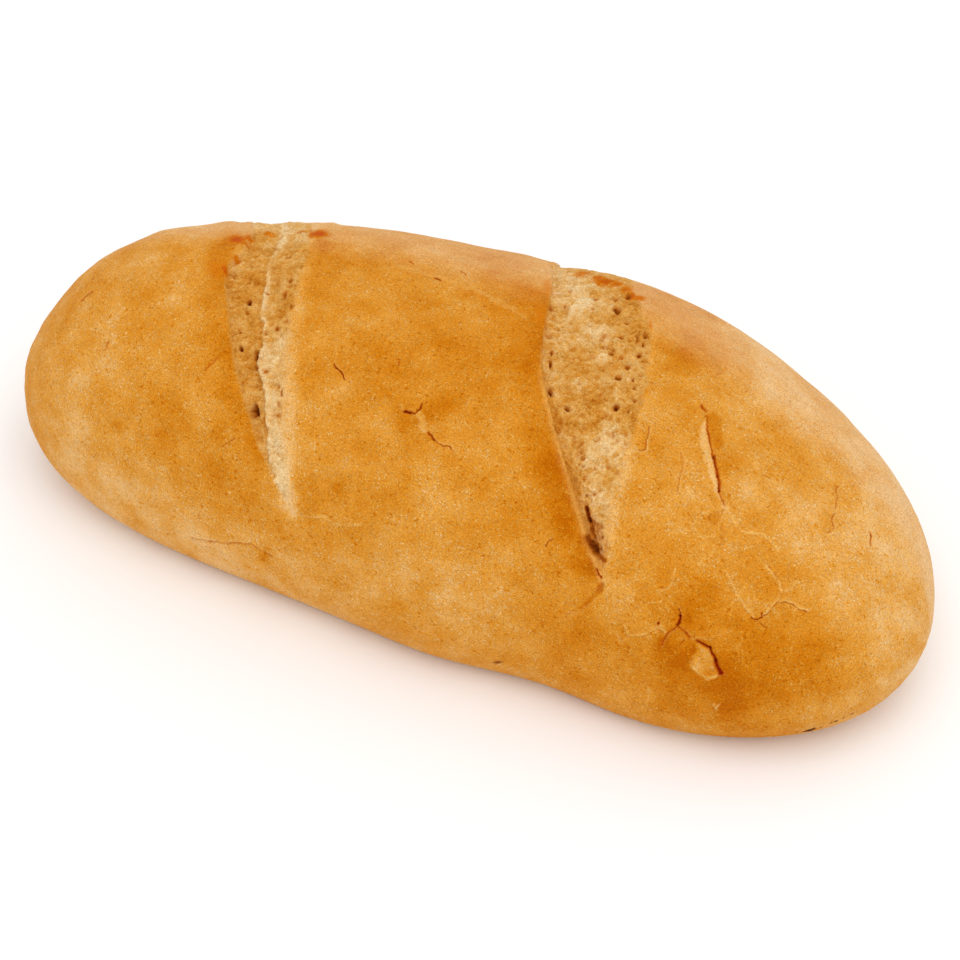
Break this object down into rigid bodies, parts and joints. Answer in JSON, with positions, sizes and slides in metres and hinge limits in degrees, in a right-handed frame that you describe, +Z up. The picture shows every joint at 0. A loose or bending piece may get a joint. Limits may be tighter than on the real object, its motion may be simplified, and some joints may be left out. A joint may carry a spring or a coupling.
{
  "type": "bread loaf",
  "caption": "Small brown bread loaf, long and rounded, wider at one end, with slanted slashes opened across its crown and a flat baked base.",
  "frame": {"origin": "middle of the footprint, on the surface that the loaf stands on", "axes": "+X along the loaf towards its wider end, +Z up out of the base; -Y is the straighter side, with the near ends of the slashes"},
  "size_m": [0.25, 0.1153, 0.07],
  "materials": {
    "crust": "baked crust, dry and faintly satin, golden brown, paler in the slashes"
  },
  "bodies": {
    "root": {"loaf": "crust"}
  },
  "joints": []
}
